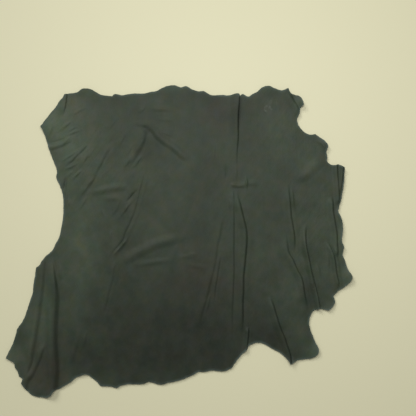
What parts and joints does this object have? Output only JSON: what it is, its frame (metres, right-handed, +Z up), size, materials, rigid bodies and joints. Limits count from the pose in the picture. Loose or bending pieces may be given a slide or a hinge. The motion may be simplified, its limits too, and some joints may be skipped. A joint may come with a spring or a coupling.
{
  "type": "leather hide",
  "caption": "Whole tanned hide of soft garment leather, ragged natural outline with shank ends, lying spread on a surface with uneven soft folds and creases.",
  "frame": {"origin": "middle of the hide's box in plan, at the height of the surface it lies on", "axes": "+X along the hide's backbone, +Y across it, +Z up off the surface"},
  "size_m": [0.895, 0.8081, 0.0126],
  "materials": {
    "leather": "dark grey-green dyed nappa, soft low sheen, faint mottling"
  },
  "bodies": {
    "root": {"hide": "leather"}
  },
  "joints": []
}
